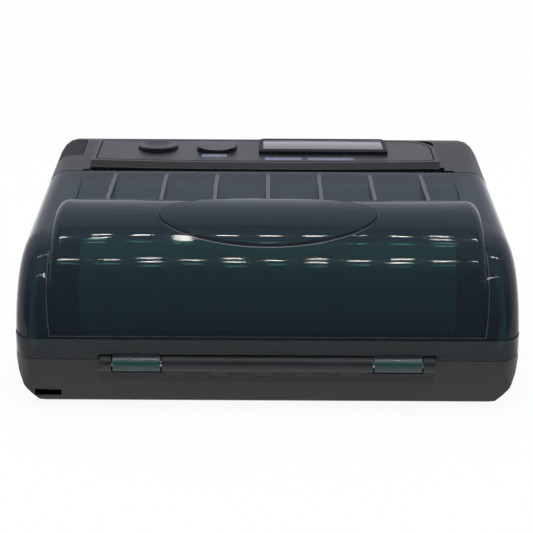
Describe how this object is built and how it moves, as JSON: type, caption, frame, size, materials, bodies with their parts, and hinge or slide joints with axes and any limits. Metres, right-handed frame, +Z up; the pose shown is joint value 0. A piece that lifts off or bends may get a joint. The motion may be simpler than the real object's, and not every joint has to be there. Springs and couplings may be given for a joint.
{
  "type": "portable receipt printer",
  "caption": "Portable thermal receipt printer: curved black case, hinged tinted clear cover over the paper roll, key panel and tear edge behind the paper slot.",
  "frame": {"origin": "middle of the footprint, on the plane the rubber feet stand on", "axes": "+Z up, +X to the right across the printer, +Y from the hinged front edge to the rear"},
  "size_m": [0.1062, 0.1054, 0.0401],
  "materials": {
    "case_black": "fine matt texture",
    "cover_teal": "clear tinted, high gloss",
    "gloss_black": "polished",
    "panel_black": "satin",
    "key_grey": "satin",
    "foot_rubber": "matt",
    "platen_rubber": "ground",
    "pad_silicone": "matt",
    "cell_wrap": "matt",
    "tub_grey": "matt",
    "board_green": "solder mask",
    "lamp_clear": "clear",
    "steel": "bright",
    "zinc_steel": "zinc plated",
    "spring_steel": "drawn wire",
    "heat_sink": "milled",
    "ceramic": "glazed ceramic",
    "gear_nylon": "moulded",
    "pinion_brass": "cut",
    "paper": "thermal paper",
    "card": "wound card"
  },
  "bodies": {
    "case": {"bottom_case": "case_black", "rubber_feet": "foot_rubber", "battery_pack": "cell_wrap", "paper_tub": "tub_grey", "top_case": "case_black", "panel_plate": "panel_black", "status_window": "gloss_black", "key_board": "board_green", "key_pad": "pad_silicone", "status_leds": "lamp_clear", "main_board": "board_green", "usb_socket": "steel", "dc_socket": "gloss_black", "head_frame": "zinc_steel", "heat_sink": "heat_sink", "print_head": "ceramic", "head_springs": "spring_steel", "stepper_motor": "zinc_steel", "idler_post": "steel", "tear_bar": "steel", "paper_sensor": "gloss_black", "hinge_pin": "steel", "case_screws": "zinc_steel", "release_spring": "spring_steel", "lever_post": "steel"},
    "battery_door": {"battery_door": "case_black"},
    "cover": {"cover_shell": "cover_teal", "platen_carrier": "gloss_black", "carrier_screws": "zinc_steel", "platen_bushes": "gear_nylon"},
    "platen": {"platen_rubber": "platen_rubber", "platen_shaft": "steel", "platen_gear": "gear_nylon"},
    "idler": {"idler_gear": "gear_nylon"},
    "pinion": {"motor_pinion": "pinion_brass"},
    "roll": {"paper_roll": "paper", "roll_core": "card"},
    "power_key": {"power_key": "key_grey"},
    "feed_key": {"feed_key": "key_grey"},
    "release_button": {"release_button": "gloss_black"},
    "release_lever": {"release_lever": "zinc_steel"}
  },
  "joints": [
    {"name": "cover_hinge", "type": "hinge", "parent": "case", "child": "cover", "pos_m": [0, -0.05097, 0.0104], "axis": [1, 0, 0], "range_deg": [0, 100]},
    {"name": "platen_spin", "type": "hinge", "parent": "cover", "child": "platen", "pos_m": [0, 0.00183, 0.0282], "axis": [1, 0, 0], "continuous": true},
    {"name": "idler_spin", "type": "hinge", "parent": "case", "child": "idler", "pos_m": [0, 0.0047, 0.01967], "axis": [1, 0, 0], "continuous": true},
    {"name": "pinion_spin", "type": "hinge", "parent": "case", "child": "pinion", "pos_m": [0, -0.00192, 0.01089], "axis": [1, 0, 0], "continuous": true},
    {"name": "roll_spin", "type": "hinge", "parent": "case", "child": "roll", "pos_m": [0, -0.02848, 0.0198], "axis": [1, 0, 0], "continuous": true},
    {"name": "power_key_press", "type": "slide", "parent": "case", "child": "power_key", "axis": [0, 0, -1], "range_m": [0, 0.0008], "stiffness_N_per_m": 1500},
    {"name": "feed_key_press", "type": "slide", "parent": "case", "child": "feed_key", "axis": [0, 0, -1], "range_m": [0, 0.0008], "stiffness_N_per_m": 1500},
    {"name": "release_press", "type": "slide", "parent": "case", "child": "release_button", "axis": [0, 0, -1], "range_m": [0, 0.0012], "stiffness_N_per_m": 2500, "deforming": ["release_spring"]},
    {"name": "release_lever_turn", "type": "hinge", "parent": "case", "child": "release_lever", "pos_m": [0, 0.01473, 0.0253], "axis": [-1, 0, 0], "range_deg": [0, 7.5]},
    {"name": "battery_door_hinge", "type": "hinge", "parent": "case", "child": "battery_door", "pos_m": [0, 0.01047, 0.00125], "axis": [-1, 0, 0], "range_deg": [0, 80]}
  ],
  "couplings": [
    {"joint": "idler_spin", "follows": "platen_spin", "ratio": -1.5714},
    {"joint": "pinion_spin", "follows": "platen_spin", "ratio": 4.1905},
    {"joint": "release_lever_turn", "follows": "release_press", "rad_per_m": 100}
  ]
}
